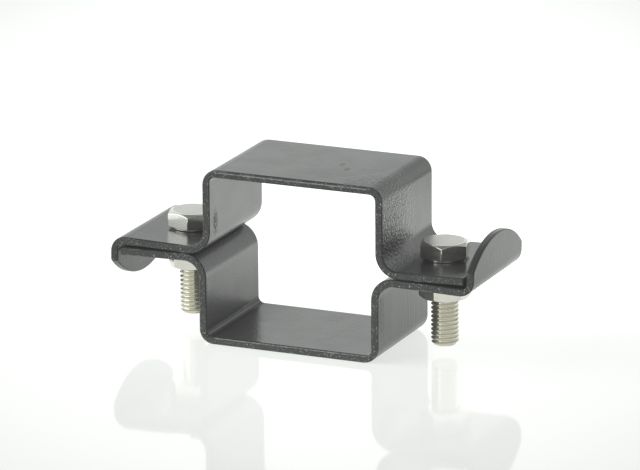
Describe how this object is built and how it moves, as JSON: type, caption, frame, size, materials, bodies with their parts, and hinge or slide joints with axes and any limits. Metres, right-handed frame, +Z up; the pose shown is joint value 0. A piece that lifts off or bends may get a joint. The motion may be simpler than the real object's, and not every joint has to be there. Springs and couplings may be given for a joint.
{
  "type": "double panel clamp",
  "caption": "Folded steel clamp for a square post: mating halves with splayed flanges and hooked lips, drawn together by hexagon bolts to hold fence panels on either side.",
  "frame": {"origin": "middle of the post's opening, halfway along the strip's width and halfway between the two halves", "axes": "+X along the flanges, towards the lip of the lower half; +Y along the post; +Z up through the bolts, towards their heads"},
  "size_m": [0.1122, 0.0364, 0.0516],
  "materials": {
    "coat": "dark grey powder coat, semi-gloss with light orange peel",
    "steel": "plain stainless, drawn and rolled"
  },
  "bodies": {
    "root": {"upper_bracket": "coat", "lower_bracket": "coat", "left_bolt": "steel", "right_bolt": "steel", "left_nut": "steel", "right_nut": "steel"}
  },
  "joints": []
}
